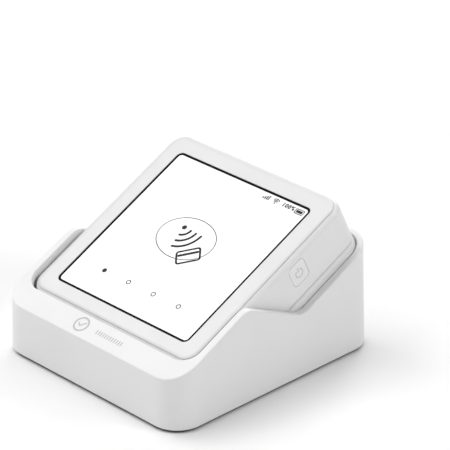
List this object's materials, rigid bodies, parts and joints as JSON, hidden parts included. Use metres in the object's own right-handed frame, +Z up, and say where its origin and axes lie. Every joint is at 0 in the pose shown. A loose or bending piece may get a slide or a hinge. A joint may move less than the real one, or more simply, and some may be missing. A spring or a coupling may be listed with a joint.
{
  "type": "card payment terminal",
  "caption": "Square touch-screen card payment terminal with a side key and chip card slot, docked in a sloping charging cradle with sprung contacts.",
  "frame": {"origin": "centre of the underside of the foot pads, on the table under the middle of the cradle", "axes": "+Z up; the low front rim faces -Y and the screen rises towards +Y; +X is the side with the power key"},
  "size_m": [0.094, 0.101, 0.06],
  "materials": {
    "base_grey": "fine matt dark grey ABS",
    "battery_silver": "foil pouch",
    "bezel_white": "semi-gloss white polycarbonate",
    "black_plastic": "moulded black",
    "black_rubber": "soft black",
    "board_green": "green solder mask",
    "bright_steel": "bright plated steel",
    "chassis_grey": "glass-filled grey",
    "copper_flex": "copper track on film",
    "display_white": "lit white display",
    "ferrite_black": "dark ferrite film",
    "gold_contact": "gold plated",
    "grey_rubber": "soft grey",
    "housing_white": "semi-gloss white polycarbonate",
    "key_white": "semi-gloss white polycarbonate",
    "lens_glass": "polished, lit white from behind",
    "shell_white": "satin white ABS",
    "steel": "plated steel",
    "tray_white": "fine matt white ABS"
  },
  "bodies": {
    "cradle": {"cradle_shell": "shell_white", "pocket_tray": "tray_white", "base_plate": "base_grey", "base_screws": "steel", "foot_pads": "grey_rubber", "ballast_plate": "steel", "cradle_board": "board_green", "board_screws": "steel", "usb_socket": "bright_steel", "usb_tongue": "black_plastic", "contact_block": "black_plastic", "contact_board": "board_green", "link_cable": "black_plastic", "contact_spring_1": "bright_steel", "contact_spring_2": "bright_steel", "contact_spring_3": "bright_steel", "contact_spring_4": "bright_steel"},
    "terminal": {"back_cover": "housing_white", "backup_cell": "bright_steel", "battery_cell": "battery_silver", "bezel_frame": "bezel_white", "card_contacts": "gold_contact", "card_reader": "black_plastic", "cellular_antenna": "copper_flex", "charge_pads": "gold_contact", "chassis": "chassis_grey", "cover_lens": "lens_glass", "display_module": "display_white", "ferrite_sheet": "ferrite_black", "housing_screws": "steel", "key_board": "board_green", "key_switch": "bright_steel", "main_board": "board_green", "nfc_antenna": "copper_flex", "pad_board": "board_green", "screen_gasket": "black_rubber", "shield_can": "bright_steel", "sim_holder": "bright_steel", "speaker": "black_plastic", "terminal_feet": "grey_rubber", "terminal_housing": "housing_white", "touch_panel": "lens_glass"},
    "power_key": {"power_key": "key_white", "switch_plunger": "black_plastic"},
    "contact_pin_1": {"contact_pin_1": "gold_contact"},
    "contact_pin_2": {"contact_pin_2": "gold_contact"},
    "contact_pin_3": {"contact_pin_3": "gold_contact"},
    "contact_pin_4": {"contact_pin_4": "gold_contact"}
  },
  "joints": [
    {"name": "terminal_lift", "type": "slide", "parent": "cradle", "child": "terminal", "axis": [0, -0.4384, 0.8988], "range_m": [0, 0.045]},
    {"name": "power_key_press", "type": "slide", "parent": "terminal", "child": "power_key", "axis": [-1, 0, 0], "range_m": [0, 0.0004], "stiffness_N_per_m": 4000, "springref_m": -0.0002},
    {"name": "contact_pin_1_press", "type": "slide", "parent": "cradle", "child": "contact_pin_1", "axis": [0, 0.4384, -0.8988], "range_m": [0, 0.0005], "stiffness_N_per_m": 800, "springref_m": -0.0002, "deforming": ["contact_spring_1"]},
    {"name": "contact_pin_2_press", "type": "slide", "parent": "cradle", "child": "contact_pin_2", "axis": [0, 0.4384, -0.8988], "range_m": [0, 0.0005], "stiffness_N_per_m": 800, "springref_m": -0.0002, "deforming": ["contact_spring_2"]},
    {"name": "contact_pin_3_press", "type": "slide", "parent": "cradle", "child": "contact_pin_3", "axis": [0, 0.4384, -0.8988], "range_m": [0, 0.0005], "stiffness_N_per_m": 800, "springref_m": -0.0002, "deforming": ["contact_spring_3"]},
    {"name": "contact_pin_4_press", "type": "slide", "parent": "cradle", "child": "contact_pin_4", "axis": [0, 0.4384, -0.8988], "range_m": [0, 0.0005], "stiffness_N_per_m": 800, "springref_m": -0.0002, "deforming": ["contact_spring_4"]}
  ]
}
